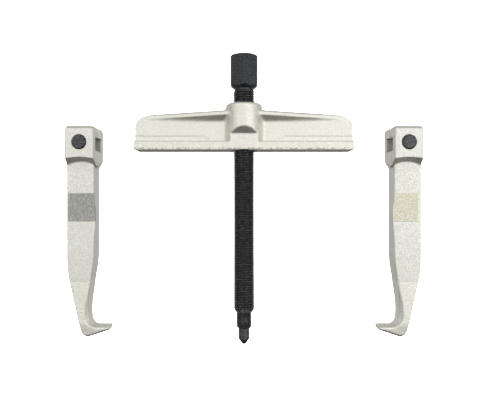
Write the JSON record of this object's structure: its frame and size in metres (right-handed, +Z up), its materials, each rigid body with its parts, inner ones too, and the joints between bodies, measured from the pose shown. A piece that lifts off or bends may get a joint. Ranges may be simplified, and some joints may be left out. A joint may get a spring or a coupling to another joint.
{
  "type": "gear puller",
  "caption": "Mechanical gear puller with a forged crossbeam, a threaded forcing spindle with hexagon and centre point, and hooked arms that slide on the beam's flange.",
  "frame": {"origin": "centre of the bounding box in X and 1.2 mm from it in Y, on the plane that the backs of the arm heads rest on; the spindle's axis is above it", "axes": "+X along the crossbeam, +Y along the spindle towards its hexagon, +Z up through the thickness of the tool as it lies flat"},
  "size_m": [0.2888, 0.2396, 0.0362],
  "materials": {
    "satin_nickel": "satin nickel plate over a blasted forging",
    "black_oxide": "black oxide, lightly oiled",
    "hardened_steel": "ground and blackened",
    "bearing_steel": "polished",
    "brass": "machined"
  },
  "bodies": {
    "beam": {"crossbeam": "satin_nickel"},
    "tip": {"centre_point": "hardened_steel", "thrust_ball": "bearing_steel", "tip_retaining_ring": "bearing_steel"},
    "spindle": {"spindle": "black_oxide"},
    "left_arm": {"left_arm": "satin_nickel", "left_detent_plug": "black_oxide", "left_detent_spring": "bearing_steel"},
    "right_arm": {"right_arm": "satin_nickel", "right_detent_plug": "black_oxide", "right_detent_spring": "bearing_steel"},
    "left_pad": {"left_friction_pad": "brass"},
    "right_pad": {"right_friction_pad": "brass"}
  },
  "joints": [
    {"name": "spindle_travel", "type": "slide", "parent": "beam", "child": "tip", "axis": [0, -1, 0], "range_m": [-0.1279, 0.0099]},
    {"name": "spindle_turn", "type": "hinge", "parent": "tip", "child": "spindle", "pos_m": [0, 0, 0.0175], "axis": [0, -1, 0], "range_deg": [-23040, 1800]},
    {"name": "left_arm_slide", "type": "slide", "parent": "beam", "child": "left_arm", "axis": [1, 0, 0], "range_m": [0, 0.0915]},
    {"name": "right_arm_slide", "type": "slide", "parent": "beam", "child": "right_arm", "axis": [-1, 0, 0], "range_m": [0, 0.0915]},
    {"name": "left_pad_press", "type": "slide", "parent": "left_arm", "child": "left_pad", "axis": [0, 0, 1], "range_m": [0, 0.0007], "stiffness_N_per_m": 2000, "springref_m": -0.001, "deforming": ["left_detent_spring"]},
    {"name": "right_pad_press", "type": "slide", "parent": "right_arm", "child": "right_pad", "axis": [0, 0, 1], "range_m": [0, 0.0007], "stiffness_N_per_m": 2000, "springref_m": -0.001, "deforming": ["right_detent_spring"]}
  ],
  "couplings": [
    {"joint": "spindle_turn", "follows": "spindle_travel", "rad_per_m": 3141.6}
  ]
}
